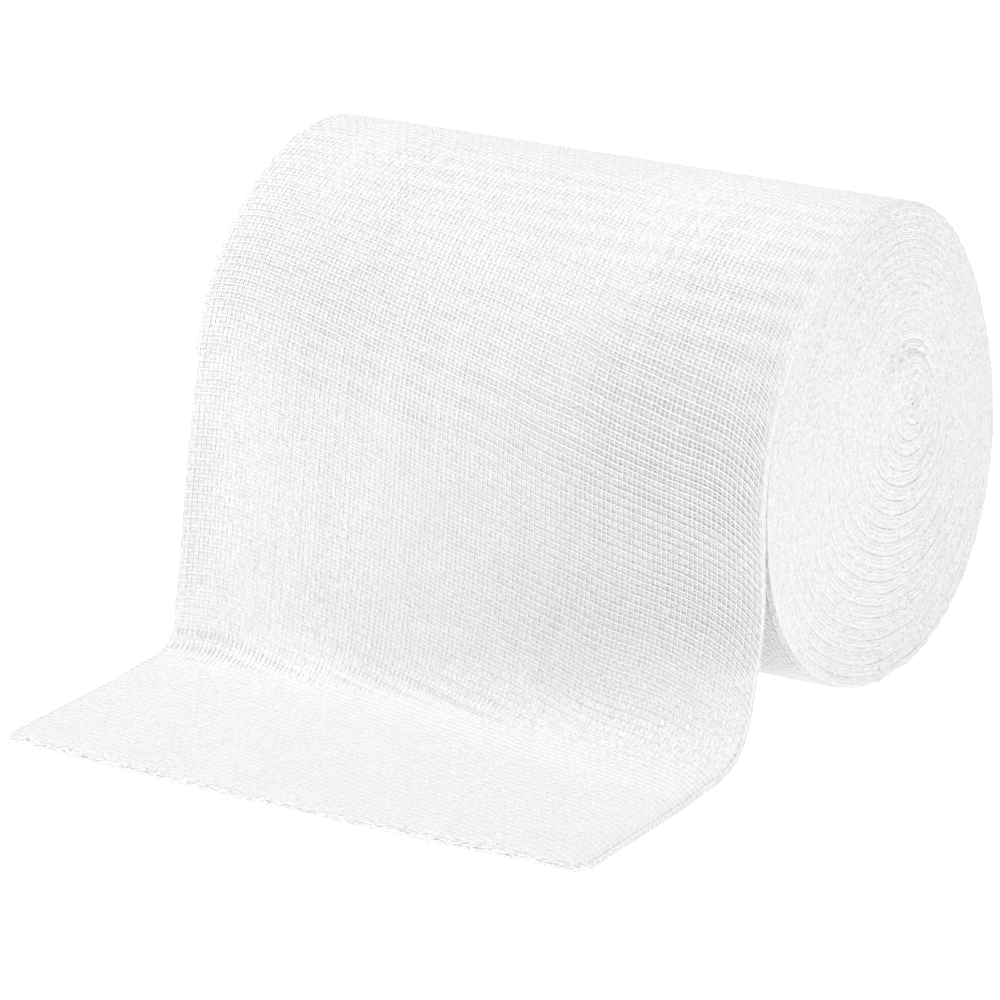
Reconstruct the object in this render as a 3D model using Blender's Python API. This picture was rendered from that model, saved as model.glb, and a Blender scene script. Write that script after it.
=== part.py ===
"""Gauze bandage roll: one strip of folded white gauze, wound up on itself.

The strip is one piece of cloth, so it is one solid: the wound body, with its soft rims and the main
turns standing out on its ends, and the loose end, a thin sheet that leaves the body at the front,
hangs down it and lies out on the table.

X runs along the roll, the loose end lies towards -Y, and Z is up. The origin is on the table, under
the middle of the whole object.
"""

from math import cos, pi, radians, sin, sqrt

import bmesh
import bpy
from mathutils import Vector
from mathutils.geometry import interpolate_bezier

MM = 0.001

# The strip of gauze
STRIP_WIDTH = 100.0 * MM
STRIP_THICKNESS = 1.2 * MM
TURN_PITCH = 1.5 * MM

# The section of the wound body: a circle that leans and is softly three-cornered
BODY_AXIS_Y = 26.05 * MM
BODY_AXIS_Z = 36.8 * MM
BODY_RADIUS = 37.8 * MM
BODY_LOBES = (
    {"lobes": 2, "stands_out": 0.96 * MM, "towards_deg": 135.3},
    {"lobes": 3, "stands_out": 1.17 * MM, "towards_deg": 78.0},
)
BODY_POINTS = 80

# Where the last turn leaves the body, as an angle about its axis: 90 is the top, 180 the front.
# Its own pull flattens the body a little there.
LEAVES_AT_DEG = {"left": 164.0, "right": 187.0}
PULLED_FLAT = {"left": 0.8 * MM, "right": 0.5 * MM}
PULL_SPREAD = radians(28.0)
LEAVING_EASE = radians(60.0)
STEP_EASE = radians(90.0)

# The side view of the loose end's outer face, as (in front of the body's axis, above the table)
LOOSE_END = {
    "left": {
        "hang_handle": (40.6 * MM, 25.0 * MM),
        "bend_top": (43.8 * MM, 6.6 * MM),
        "bend_corner": (44.6 * MM, STRIP_THICKNESS),
        "bend_foot": (49.5 * MM, STRIP_THICKNESS),
        "cut_edge": (88.4 * MM, STRIP_THICKNESS),
    },
    "right": {
        "hang_handle": (36.9 * MM, 20.0 * MM),
        "bend_top": (39.7 * MM, 12.2 * MM),
        "bend_corner": (42.2 * MM, STRIP_THICKNESS),
        "bend_foot": (51.5 * MM, STRIP_THICKNESS),
        "cut_edge": (89.2 * MM, STRIP_THICKNESS),
    },
}
BEND_FULLNESS = 0.75
HANG_STEPS = 9
BEND_STEPS = 8
LYING_STEPS = 7
CUT_EDGE_BOW = 0.7 * MM
CORNER_RADIUS = {"left": 1.5 * MM, "right": 4.5 * MM}
CUT_EDGE_THINNED = 0.15 * MM
LEFT_DRAWN_IN = 1.2 * MM
DRAWN_IN_OVER = 14.0 * MM

# Sections across the strip, as shares of its width; the last ones round the loose end's corners
STATIONS = (0.0, 0.004, 0.02, 0.12, 0.25, 0.38, 0.50, 0.62, 0.75, 0.87, 0.95, 0.98, 0.995, 1.0)

# The ends of the wound body
RIM_RADIUS = 3.0 * MM
CRISP_RIM_RADIUS = 0.4 * MM
RIM_EASE = radians(80.0)
RIM_STEPS = 3
EYE_BACK = 8.0 * MM
EYE_UP = 6.0 * MM
CORE_SHARE = 0.05
MAIN_TURNS = 6
TURN_RELIEF = 0.8 * MM
CORE_DEPTH = 1.6 * MM
END_WANDER = 0.4 * MM

# Gauze: bleached cotton
GAUZE_COLOUR = (0.93, 0.93, 0.92, 1.0)
GAUZE_ROUGHNESS = 0.9


def between(low, high, share):
    """The value at a share of the way from low to high."""
    return low + (high - low) * share


def ease(share):
    """A soft ramp from 0 to 1."""
    share = min(max(share, 0.0), 1.0)
    return share * share * (3.0 - 2.0 * share)


def across_strip(table, share):
    """A value that changes from the strip's left edge to its right edge."""
    return between(table["left"], table["right"], share)


# ------------------------------------------------------------------ the wound body's section

def lobed_radius(angle):
    """The body's radius at an angle about its axis."""
    radius = BODY_RADIUS
    for lobe in BODY_LOBES:
        turned = angle - radians(lobe["towards_deg"])
        radius += lobe["stands_out"] * cos(lobe["lobes"] * turned)
    return radius


def body_angles(share):
    """The angles of the section's points, from the leaving point over the top and round to it again."""
    middle = radians(across_strip(LEAVES_AT_DEG, 0.5))
    shift = radians(across_strip(LEAVES_AT_DEG, share)) - middle
    angles = []
    for index in range(BODY_POINTS):
        travelled = 2.0 * pi * index / BODY_POINTS
        nearest = min(travelled, 2.0 * pi - travelled)
        angles.append(middle - travelled + shift * (1.0 - ease(nearest / LEAVING_EASE)))
    return angles


def body_section(share):
    """The body's outline as (y, z), with a small flat spot on the table."""
    angles = body_angles(share)
    outline = []
    for angle in angles:
        from_leaving = angles[0] - angle
        to_leaving = 2.0 * pi - from_leaving
        pulled = max(1.0 - min(from_leaving, to_leaving) / PULL_SPREAD, 0.0)
        radius = lobed_radius(angle) - across_strip(PULLED_FLAT, share) * ease(pulled)
        if from_leaving > 0.0:
            radius -= TURN_PITCH * (1.0 - ease(to_leaving / STEP_EASE))
        y = BODY_AXIS_Y + radius * cos(angle)
        z = BODY_AXIS_Z + radius * sin(angle)
        outline.append((y, max(z, 0.0)))
    return outline


# ------------------------------------------------------------------ the loose end's section

def side_point(name, share):
    """A named point of the loose end's side view, as (y, z)."""
    left, right = LOOSE_END["left"][name], LOOSE_END["right"][name]
    forward = between(left[0], right[0], share)
    height = between(left[1], right[1], share)
    return Vector((BODY_AXIS_Y - forward, height))


def cut_edge_setback(share):
    """How far the cut edge's bow and rounded corners hold it back."""
    setback = -CUT_EDGE_BOW * sin(pi * share)
    for side, from_edge in (("left", share), ("right", 1.0 - share)):
        radius = CORNER_RADIUS[side]
        inside = max(radius - from_edge * STRIP_WIDTH, 0.0)
        setback += radius - sqrt(radius * radius - inside * inside)
    return setback


def outer_face(share, leaving):
    """The loose end's outer face from its leaving point to its cut edge, as (y, z)."""
    angle = radians(across_strip(LEAVES_AT_DEG, share))
    bend_top = side_point("bend_top", share)
    bend_corner = side_point("bend_corner", share)
    bend_foot = side_point("bend_foot", share)
    cut_edge = side_point("cut_edge", share) + Vector((cut_edge_setback(share), 0.0))
    hang_length = (bend_top - leaving).length
    tangent = Vector((-sin(angle), cos(angle))) * hang_length / 3.0
    hang_handle = side_point("hang_handle", share)
    path = interpolate_bezier(leaving, leaving + tangent, hang_handle, bend_top, HANG_STEPS + 1)
    top_handle = bend_top.lerp(bend_corner, BEND_FULLNESS)
    foot_handle = bend_foot.lerp(bend_corner, BEND_FULLNESS)
    path += interpolate_bezier(bend_top, top_handle, foot_handle, bend_foot, BEND_STEPS + 1)[1:]
    path += [bend_foot.lerp(cut_edge, step / LYING_STEPS) for step in range(1, LYING_STEPS + 1)]
    return path[1:]


def inner_face(outer, leaving):
    """The face under the outer one, a strip's thickness away and never below the table."""
    along = [leaving] + outer
    inner = []
    for index in range(1, len(along) - 1):
        run = (along[index + 1] - along[index - 1]).normalized()
        inward = Vector((-run.y, run.x))
        point = along[index] + inward * STRIP_THICKNESS
        inner.append(Vector((point.x, max(point.y, 0.0))))
    inner.append(Vector((outer[-1].x, 0.0)))
    return inner


def strip_section(share):
    """The whole section as (y, z): the body's outline, then the loose end's outer and inner faces."""
    body = body_section(share)
    leaving = Vector(body[0])
    outer = outer_face(share, leaving)
    inner = inner_face(outer, leaving)
    outer[-1].y -= CUT_EDGE_THINNED
    return body, [tuple(point) for point in outer], [tuple(point) for point in inner]


# ------------------------------------------------------------------ building the solid

def rim_radius(angle, leaving_angle):
    """The rim is soft all round, and crisp only where the last turn comes down the front."""
    apart = abs((angle - leaving_angle + pi) % (2.0 * pi) - pi)
    return between(CRISP_RIM_RADIUS, RIM_RADIUS, ease(apart / RIM_EASE))


def section_points(share):
    """The section's points in the room, in the order of their slots: the body stops where its rims start."""
    body, outer, inner = strip_section(share)
    points = []
    angles = body_angles(share)
    for (y, z), angle in zip(body, angles):
        straight = STRIP_WIDTH - 2.0 * rim_radius(angle, angles[0])
        points.append(Vector(((share - 0.5) * straight, y, z)))
    for y, z in outer + inner:
        past_bend = BODY_AXIS_Y - LOOSE_END["left"]["bend_foot"][0] - y
        drawn_in = LEFT_DRAWN_IN * ease(past_bend / DRAWN_IN_OVER) * (1.0 - share)
        points.append(Vector(((share - 0.5) * STRIP_WIDTH + drawn_in, y, z)))
    return points


def extrude_to(bm, slots, faces, points, keep=False):
    """Extrude faces and move each new point to the place of its slot."""
    made = bmesh.ops.extrude_face_region(bm, geom=faces)["geom"]
    if not keep:
        bmesh.ops.delete(bm, geom=faces, context="FACES")
    for item in made:
        if isinstance(item, bmesh.types.BMVert):
            item.co = points[item[slots]]
    return [item for item in made if isinstance(item, bmesh.types.BMFace)]


def first_section(bm, slots):
    """The section at the left edge: the body's disc and the loose end's strip of small faces."""
    verts = []
    for slot, point in enumerate(section_points(0.0)):
        vert = bm.verts.new(point)
        vert[slots] = slot
        verts.append(vert)
    body = verts[:BODY_POINTS]
    loose = verts[BODY_POINTS:]
    outer = [body[0]] + loose[:len(loose) // 2]
    inner = [body[-1]] + loose[len(loose) // 2:]
    faces = [bm.faces.new(body)]
    for index in range(len(outer) - 1):
        faces.append(bm.faces.new((outer[index], inner[index], inner[index + 1], outer[index + 1])))
    return faces


def ring_of_end(points, angles, side, share_out, depth):
    """One ring of the body's end, drawn in towards the eye of the winding."""
    eye = Vector((0.0, BODY_AXIS_Y + EYE_BACK, BODY_AXIS_Z + EYE_UP))
    ring = []
    for point, angle in zip(points, angles):
        place = eye.lerp(point, share_out)
        wander = END_WANDER * sin(2.0 * angle + 9.0 * share_out) * (1.0 - share_out)
        place.x = side * (STRIP_WIDTH / 2.0 - depth - wander)
        ring.append(place)
    return ring


def finish_end(bm, slots, disc, share):
    """Round the body's rim and raise its main turns, ring by ring, into the eye."""
    angles = body_angles(share)
    side = 1.0 if share == 1.0 else -1.0
    edge = section_points(share)[:BODY_POINTS]
    middle = Vector((0.0, BODY_AXIS_Y, BODY_AXIS_Z))
    for step in range(1, RIM_STEPS + 1):
        turn = pi / 2.0 * step / RIM_STEPS
        ring = []
        for point, angle in zip(edge, angles):
            radius = rim_radius(angle, angles[0])
            place = Vector((0.0, point.y, point.z))
            place += (middle - place).normalized() * radius * (1.0 - cos(turn))
            place.x = side * (STRIP_WIDTH / 2.0 - radius * (1.0 - sin(turn)))
            ring.append(place)
        disc = extrude_to(bm, slots, disc, ring)
    flat_rim = [Vector((0.0, place.y, place.z)) for place in ring]
    for turn in range(2 * MAIN_TURNS + 1):
        inward = (turn + 1) / (2 * MAIN_TURNS + 1)
        share_out = between(1.0, CORE_SHARE, inward)
        depth = CORE_DEPTH * inward ** 2 + (TURN_RELIEF if turn % 2 == 0 else 0.0)
        disc = extrude_to(bm, slots, disc, ring_of_end(flat_rim, angles, side, share_out, depth))


def gauze_material():
    """Bleached cotton gauze, dull and almost white."""
    material = bpy.data.materials.new("gauze")
    material.use_nodes = True
    shader = material.node_tree.nodes["Principled BSDF"]
    shader.inputs["Base Color"].default_value = GAUZE_COLOUR
    shader.inputs["Roughness"].default_value = GAUZE_ROUGHNESS
    shader.inputs["Metallic"].default_value = 0.0
    return material


def make_gauze_roll():
    """The whole strip, wound body and loose end, as one closed solid."""
    bm = bmesh.new()
    slots = bm.verts.layers.int.new("slot")
    left_faces = first_section(bm, slots)
    right_faces = extrude_to(bm, slots, left_faces, section_points(STATIONS[1]), keep=True)
    for share in STATIONS[2:]:
        right_faces = extrude_to(bm, slots, right_faces, section_points(share))
    largest = max(right_faces, key=lambda face: len(face.verts))
    finish_end(bm, slots, [left_faces[0]], 0.0)
    finish_end(bm, slots, [largest], 1.0)
    bmesh.ops.recalc_face_normals(bm, faces=bm.faces)
    mesh = bpy.data.meshes.new("gauze_roll")
    bm.to_mesh(mesh)
    bm.free()
    mesh.materials.append(gauze_material())
    mesh.shade_smooth()
    mesh.set_sharp_from_angle(angle=radians(50.0))
    roll = bpy.data.objects.new("gauze_roll", mesh)
    bpy.context.collection.objects.link(roll)
    return roll


for old in list(bpy.data.objects):
    bpy.data.objects.remove(old, do_unlink=True)
make_gauze_roll()
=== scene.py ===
"""Gauze bandage roll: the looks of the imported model.

One strip of folded white gauze is wound up into a roll, and its loose end hangs down the front and lies
out on the table. The wound strip is one closed sheet that carries its lower plies; the two plies that
show are woven from single yarns over it, and loops and cut ends of yarn stand out at its edges.
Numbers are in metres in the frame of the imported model, where a comment doesn't say millimetres.
"""

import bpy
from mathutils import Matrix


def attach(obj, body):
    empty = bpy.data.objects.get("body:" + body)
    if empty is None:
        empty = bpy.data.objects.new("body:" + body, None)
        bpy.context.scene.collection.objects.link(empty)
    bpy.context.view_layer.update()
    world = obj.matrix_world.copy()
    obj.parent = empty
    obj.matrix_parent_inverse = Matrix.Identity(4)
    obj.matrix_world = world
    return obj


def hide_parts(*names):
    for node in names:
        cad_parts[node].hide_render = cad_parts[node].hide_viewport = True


bl_info = {
    "name": "Gauze Bandage Roll",
    "version": (1, 0, 0),
    "blender": (4, 5, 0),
    "location": "3D View > Sidebar > Gauze Roll",
    "description": "Winds a gauze strip, weaves its plies, frays its edges and sets it on a pale table",
    "category": "Object",
}

from math import cos, pi, radians, sin, sqrt

import bmesh
import bpy
import numpy as np
from bpy.props import FloatProperty, FloatVectorProperty, IntProperty, PointerProperty
from bpy.types import Operator, Panel, PropertyGroup
from mathutils import Vector

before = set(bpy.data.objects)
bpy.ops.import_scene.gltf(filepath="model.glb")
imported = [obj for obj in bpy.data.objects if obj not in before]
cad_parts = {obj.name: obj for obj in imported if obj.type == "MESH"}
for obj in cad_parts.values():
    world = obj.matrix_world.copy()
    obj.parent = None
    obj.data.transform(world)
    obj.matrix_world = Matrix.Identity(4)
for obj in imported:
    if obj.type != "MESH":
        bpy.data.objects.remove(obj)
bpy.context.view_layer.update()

MM = 0.001
TINY = 1e-9
WELD = 1e-7
NODE = "gauze_roll"
BODY = "root"
COTTON_GROUP = "cotton_unevenness"

# --- the solid's measures, its rims, eye, ends and cut edge drawn closer to the photograph
# Pairs are for the strip's left and right edge. Pairs of pairs are (in front of the axis, height).

STRIP_WIDTH = 100.0 * MM
STRIP_THICKNESS = 1.2 * MM
AXIS_Y = 26.05 * MM
AXIS_Z = 36.8 * MM
BODY_RADIUS = 37.8 * MM
# Lobes of the section: how many, how far they stand out, towards how many degrees
LOBES = ((2, 0.96 * MM, 135.3), (3, 1.17 * MM, 78.0))
LEAVES_AT_DEG = (164.0, 187.0)
PULLED_FLAT = (0.8 * MM, 0.5 * MM)
PULL_SPREAD = radians(28.0)
LEAVING_EASE = radians(60.0)
TWISTED_TURNS = 1.2
HANG_HANDLE = ((40.6 * MM, 25.0 * MM), (36.9 * MM, 20.0 * MM))
BEND_TOP = ((43.8 * MM, 6.6 * MM), (39.7 * MM, 12.2 * MM))
BEND_CORNER = ((44.6 * MM, STRIP_THICKNESS), (42.2 * MM, STRIP_THICKNESS))
BEND_FOOT = ((49.5 * MM, STRIP_THICKNESS), (51.5 * MM, STRIP_THICKNESS))
CUT_EDGE = ((89.3 * MM, STRIP_THICKNESS), (90.5 * MM, STRIP_THICKNESS))
BEND_FULLNESS = 0.75
CUT_EDGE_BOW = 1.5 * MM
CORNER_RADIUS = (0.5 * MM, 2.5 * MM)
DRAWN_RIGHT = (0.5 * MM, 0.6 * MM)
DRAWN_RIGHT_OVER = 14.0 * MM
LEFT_BULGE = 0.7 * MM
BULGE_TOWARDS = radians(150.0)
BULGE_SPREAD = radians(32.0)
RIM_RADIUS = 0.9 * MM
CRISP_RIM_RADIUS = 0.4 * MM
RIM_EASE = radians(80.0)
RIM_STANDS_OUT = 0.7
EYE_Y = AXIS_Y + 11.2 * MM
EYE_Z = AXIS_Z + 5.1 * MM
CORE_DEPTH = 0.7 * MM

# --- how the strip is wound

CORE_SCALE = 0.01
LEAST_SCALE = 0.004
STEP_SCALE = 0.0328
STEPPED_TURNS = 5.0
STEP_TURNS = 0.25
TURN_FILL = 0.9995
RINGS_PER_TURN = 56
LOOSE_RINGS = (20, 40, 16)
FACE_SHARES = (0.015, 0.06, 0.14, 0.25, 0.35, 0.45, 0.55, 0.65, 0.75, 0.86, 0.94, 0.985)
# The strip's folded edge, from its outer to its inner face: inset and depth as parts of its thickness
EDGE_NOSE = ((0.04, 0.0), (0.012, 0.12), (0.0, 0.36), (0.0, 0.66), (0.012, 0.90), (0.04, 1.0))
# How far the strip lies under the woven plies, and the turns where that ends: start and length
SUNK = 0.13 * MM
SUNK_ENDS = (0.9, 0.2)
# The turns over which the strip becomes as thick as its pitch: start and length
FILLS_OVER = (0.02, 0.12)
# How far a turn's edge keeps back from the end, in mm, with waves as (rate a turn, phase, phase by side)
EDGE_BACK, SLOW_WANDER, QUICK_WANDER = 0.08, 0.012, 0.016
SLOW_WAVES = ((2.6, 0.0, 1.7), (7.1, 0.6, 1.0))
QUICK_WAVES = ((41.0, 0.0, 2.0), (67.0, 1.0, 0.0))
# The two slack turns near the core: turns wound in, share of the full groove, from and to degrees
SLACK_TURNS = ((15.5, 0.7, 40.0, 140.0), (16.7, 1.0, 16.0, 160.0))
SLACK_FLATNESS = 0.6
SLACK_GROOVE = 0.5 * MM
# The groove in a slack turn's own edge, and in the next turn's (start and length), by depth in the strip
GROOVE_UNTIL = 0.7
NEXT_GROOVE_OVER = (0.6, 0.4)
# The loose end's underside, its narrower width, and its cut end, which is fullest at a share of its depth
CLEARS_TABLE = 0.02 * MM
SHEET_NARROWER = 0.4 * MM
CUT_END_BACK = 0.35 * MM
CUT_END_FULLEST = 0.4

# --- where the plies part, the weave looks open and painted shade lies between the yarns, with x and run in mm

# x, run, how far it spreads along both, how strongly
OPEN_PATCHES = (
    (38, -11, 23, 15, 0.62), (15, 4, 34, 19, 0.22), (20, 25, 20, 12, 0.36), (38, 15, 14, 13, 0.34),
    (-5, -20, 30, 9, 0.12), (-34, -14, 22, 16, 0.27), (-48.5, 15, 3, 13, 0.24), (-12, 30, 7, 7, 0.12),
    (46, 19, 9, 9, 0.22))
# How open it looks between the patches, and the runs where that sets in and fades out: start and length
OPEN_OVERALL = 0.31
OPENS_OVER = (-62.0, 32.0)
CLOSES_OVER = (22.0, 28.0)
# How open it looks under the roll, with painted shade between the yarns there, and the runs over which that
# fades out towards the top
OPEN_BELOW = 0.35
BELOW_ENDS = (-190.0, 30.0)
OPEN_DEPTH = 0.25 * MM
# How far the shade between the yarns goes towards the hollows' colour even where the weave looks closed
LEAST_SHADE = 0.12

# --- how the plies are woven

WEAVE_SEED, OUTER_SEED, SECOND_SEED = 3, 11, 23
OUTER_LIFT = -0.12 * MM
OUTER_HEIGHT = 0.05 * MM
OUTER_INSET = 0.15 * MM
OUTER_THICK = (0.95, 1.05)
SECOND_LIFT = -0.15 * MM
SECOND_PARTS = -0.29 * MM
SECOND_SHIFT = 0.5
SECOND_INSET = 0.9 * MM
SECOND_THICK = (0.9, 0.85)
WEFT_PROUD = 0.10 * MM
WEFT_LEADS_FROM = 0.34
WARP_PROUD = 0.04 * MM
LOW_WEFT_PROUD = 0.035 * MM
LOW_WEFT_PATCH = (18, 30, 28, 12)
BEND_WEFT_PROUD = 0.02 * MM
BEND_RUN, BEND_SPREAD = 44.0, 6.0
LEAST_RELIEF = 0.3
FULL_RELIEF_AT = 0.3
EMBEDDED = 0.05 * MM
WEFT_THICKER = 0.35
# How the weft slopes along the strip at each x in mm
WEFT_AT_MM = (-50, -46, -42, -36, -28, -20, -12, -4, 4, 12, 20, 28, 36, 42, 46, 48.5, 50)
WEFT_SLOPE = (-0.35, -0.2, -0.05, 0.05, 0.06, 0.13, 0.07, 0.09, 0.12, 0.10, 0.13, 0.05, 0.06, 0.15, 0.45,
              0.9, 1.2)
SLOPE_STATIONS = 401
WARP_UNEVEN, WEFT_UNEVEN, UNEVEN_OVER = 0.05, 0.06, 2
# Waves of the weave in mm, and over how many crossings each is smoothed
SHARED_WAVE, SHARED_OVER = 0.18, 10
OWN_WAVE, OWN_OVER = 0.03, 12
KINKS, KINKS_OVER = 0.025, 2
WARP_SWAY, SWAY_OVER = 0.03, 9
# Thick and thin places of a yarn, as a share of its radius
THICK_WAVE, THICK_OVER = 0.07, 4
WEFTS_START_BELOW = 14.0 * MM
PAST_LOW_END, SHORT_OF_CUT = 0.3 * MM, 0.35 * MM
FEWEST_RINGS = 3
# A weft that ends this near an edge wraps round it, ring by ring: past its end and down, in mm
WRAPS_WITHIN = 1.6 * MM
WRAP_RINGS = ((0.06, 0.34), (0.02, 0.80))

# --- loops on the roll's ends, in mm, turns and shares of the strip's depth

RIGHT_LOOPS_SEED, LEFT_LOOPS_SEED = 5, 6
LOOPS_START, LOOPS_STOP_SHORT, LOOP_STATIONS = 0.02, 0.1, 4000
# One loop in so many is placed near the eye, within so many turns
EYE_LOOP_IN, EYE_TURNS = 60, 2.5
# Loops of the outermost turn turn aside less, stand up less and keep away from its outer face
INNER_FROM = 0.4
OUTER_TURNED, OUTER_HIGH, OUTER_SUNK = 0.25, 0.4, 0.2
AT_FACE_SHARE, AT_FACE_SPREAD, LOOP_SUNK = 0.35, 0.08, (-0.10, 1.08)
LOOP_INSET = 0.5
LOOP_AHEAD = 0.004
LOOP_TURNED = radians(22.0)
LOOP_HALF, LOOP_HIGH, LOOP_BOW, LOOP_ROOT = (0.34, 0.66), (0.05, 0.16), 0.12, 0.12
LOOP_THICK = (0.65, 0.95)

# --- frayed yarns along the cut edge, with lengths in mm

FRAYED_SEED = 41
FRAYED_RINGS = 6
FROM_EDGES = (0.4 * MM, 0.8 * MM)
FRAYED_BACK, FRAYED_DEEPER = 0.12, 0.9
FRAYED_AT_HEIGHT = (0.35, 0.95)
FRAYED_TURNED, FRAYED_TILT = radians(13.0), 0.10
FRAYED_HALF = (0.5, 1.4)
# Some are warp ends that stick out of the edge
WARP_END_SHARE, WARP_END_TURNED, WARP_END_HALF = 0.08, radians(25.0), (0.2, 0.5)
FRAYED_WAVES, FRAYED_SWAY, FRAYED_RISE = (1.5, 4.0), (0.03, 0.12), (0.0, 0.06)
RISE_RATE, RISE_PHASE = 1.3, 2.0
FRAYED_MARGIN = 0.1 * MM
FRAYED_THICK = (0.6, 0.9)

# --- how the cotton looks: noise scales, shares of the colours, and bumps as strength and distance

NOISE_SCALES = {"Cloud Scale": 90.0, "Fibre Scale": 9000.0, "Curl Scale": 1500.0}
FINE_CURL_SCALE = 3500.0
CURL_DISTORTION, CURL_SHARPNESS, CURL_SOFTNESS = 0.6, 7.0, 0.2
YARN_TONES = (0.955, 0.985)
TWISTS_PER_MM, TWIST_HEIGHT = 14.0, 0.35
YARN_BUMP = (0.35, 0.03 * MM)
YARN_SHADER = {"Roughness": 0.9, "Specular IOR Level": 0.25, "Sheen Weight": 0.12, "Sheen Roughness": 0.6}
# Painted shade along the lines between the plies on the strip's ends: how many across its depth, how far
# they wander, how dark, and their mean
PLY_LINES, PLY_LINE_WANDER = 3.0, 6.0
PLY_LINE_DEPTH, PLY_LINE_MEAN = 0.38, 0.66
# Dark and light shares of the fuzz, the dark one also taken by the painted shade between the plies; between
# the yarns the light share is lower, as painted shade
FUZZ_SHADE, FUZZ_LIGHT, FUZZ_LIGHT_BETWEEN = 0.85, 1.0, 0.92
# Painted shade in the hollows between the yarns: shares of its colour, mottled by finer curls
HOLLOW_SHADE_TONES = (0.92, 1.2)
BETWEEN_RATE, BETWEEN_FLATTER = 8.0, 0.3
FUZZ_BUMP = (0.9, 0.16 * MM)
FUZZ_SHADER = {"Roughness": 0.95, "Specular IOR Level": 0.15}

# --- the studio: the camera as the photograph's, and lights as place, aim, size and power's setting

CAMERA_AT = (428.51 * MM, -714.73 * MM, 307.42 * MM)
CAMERA_TARGET = (-2.634 * MM, 1.513 * MM, 27.448 * MM)
CAMERA_LENS = 208.46
CAMERA_SENSOR = 36.0
LIGHTS = {
    "key_light": ((-0.72, -0.95, 0.42), (0.0, 0.0, 0.03), 0.9, "key"),
    "top_light": ((-0.15, -0.15, 1.30), (0.0, 0.0, 0.03), 1.0, "top"),
    "fill_light": ((0.95, -0.75, 0.30), (0.03, 0.0, 0.04), 0.7, "fill"),
}
WHITE = (1.0, 1.0, 1.0, 1.0)
FLOOR_SIZE = 4.0
FLOOR_SHADER = {"Roughness": 0.9, "Specular IOR Level": 0.1, "Emission Color": WHITE,
                "Emission Strength": 0.65}


# === settings

class GauzeStripSettings(PropertyGroup):
    turns: FloatProperty(
        name="Turns", description="How many times the strip is wound round", default=22.0,
        min=10.0, max=28.0)
    colour: FloatVectorProperty(
        name="Gauze", description="Colour of the bleached cotton", default=(0.97, 0.97, 0.965),
        subtype="COLOR", size=3, min=0.0, max=1.0)
    # A little darker than the gauze white, as painted shade for the plies that lie under the outermost one
    lower_colour: FloatVectorProperty(
        name="Lower plies", description="Colour of the plies under the outermost one",
        default=(0.95, 0.95, 0.945), subtype="COLOR", size=3, min=0.0, max=1.0)
    # Painted shade: the colour that the lower plies take in the hollows between the yarns
    hollow_shade_colour: FloatVectorProperty(
        name="Hollows", description="Colour of the lower plies where they lie in shade",
        default=(0.62, 0.62, 0.62), subtype="COLOR", size=3, min=0.0, max=1.0)


class GauzeWeaveSettings(PropertyGroup):
    warp_yarns: IntProperty(
        name="Warp yarns", description="Yarns side by side across the strip", default=121,
        min=20, max=160)
    weft_pitch: FloatProperty(
        name="Weft pitch", description="Distance from one weft yarn to the next", default=1.27 * MM,
        min=0.8 * MM, max=3.0 * MM, subtype="DISTANCE", unit="LENGTH")
    yarn_radius: FloatProperty(
        name="Yarn radius", description="Half the thickness of a spun yarn", default=0.10 * MM,
        min=0.05 * MM, max=0.3 * MM, subtype="DISTANCE", unit="LENGTH")


class GauzeFraySettings(PropertyGroup):
    loops: IntProperty(
        name="Loops an end", description="Yarn loops that stand out on each end of the roll",
        default=11000, min=100, max=14000)
    frayed: IntProperty(
        name="Frayed yarns", description="Loose bits of yarn along the cut edge", default=1300,
        min=50, max=4000)


class GauzeStudioSettings(PropertyGroup):
    sky: FloatProperty(
        name="Sky", description="Even light from all round", default=0.68, min=0.0, max=3.0)
    key: FloatProperty(
        name="Key", description="Power of the big soft light at the upper left", default=5.2,
        min=0.0, max=100.0, unit="POWER")
    fill: FloatProperty(
        name="Fill", description="Power of the soft light at the right", default=2.4,
        min=0.0, max=100.0, unit="POWER")
    top: FloatProperty(
        name="Top", description="Power of the soft light overhead", default=6.5,
        min=0.0, max=100.0, unit="POWER")
    floor_colour: FloatVectorProperty(
        name="Floor", description="Colour of the table top", default=(0.70, 0.70, 0.70),
        subtype="COLOR", size=3, min=0.0, max=1.0)


# === small sums

def ease(share):
    """A soft ramp from 0 to 1."""
    share = np.clip(share, 0.0, 1.0)
    return share * share * (3.0 - 2.0 * share)


def ramp(value, start, length):
    """A soft ramp that begins at the start and takes so long."""
    return ease((value - start) / length)


def at_least(low, share):
    """A share that runs from low to 1 in place of 0 to 1."""
    return low + (1.0 - low) * share


def across(pair, share):
    """A value that changes from the strip's left edge to its right edge."""
    return pair[0] + (pair[1] - pair[0]) * share


def apart(one, other):
    """How far apart two angles are, either way round."""
    return np.abs((one - other + pi) % (2.0 * pi) - pi)


def unit(vectors):
    """Vectors of the same directions and of length 1."""
    return vectors / np.maximum(np.linalg.norm(vectors, axis=-1), TINY)[..., None]


def length_along(points, joined=True):
    """The distance run at each of a row of points, counting only the steps that are joined."""
    steps = np.where(joined, np.linalg.norm(np.diff(points, axis=0), axis=1), 0.0)
    return np.concatenate([[0.0], np.cumsum(steps)])


# === the strip's shape

def leaving_angle(share):
    return np.radians(across(LEAVES_AT_DEG, share))


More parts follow.
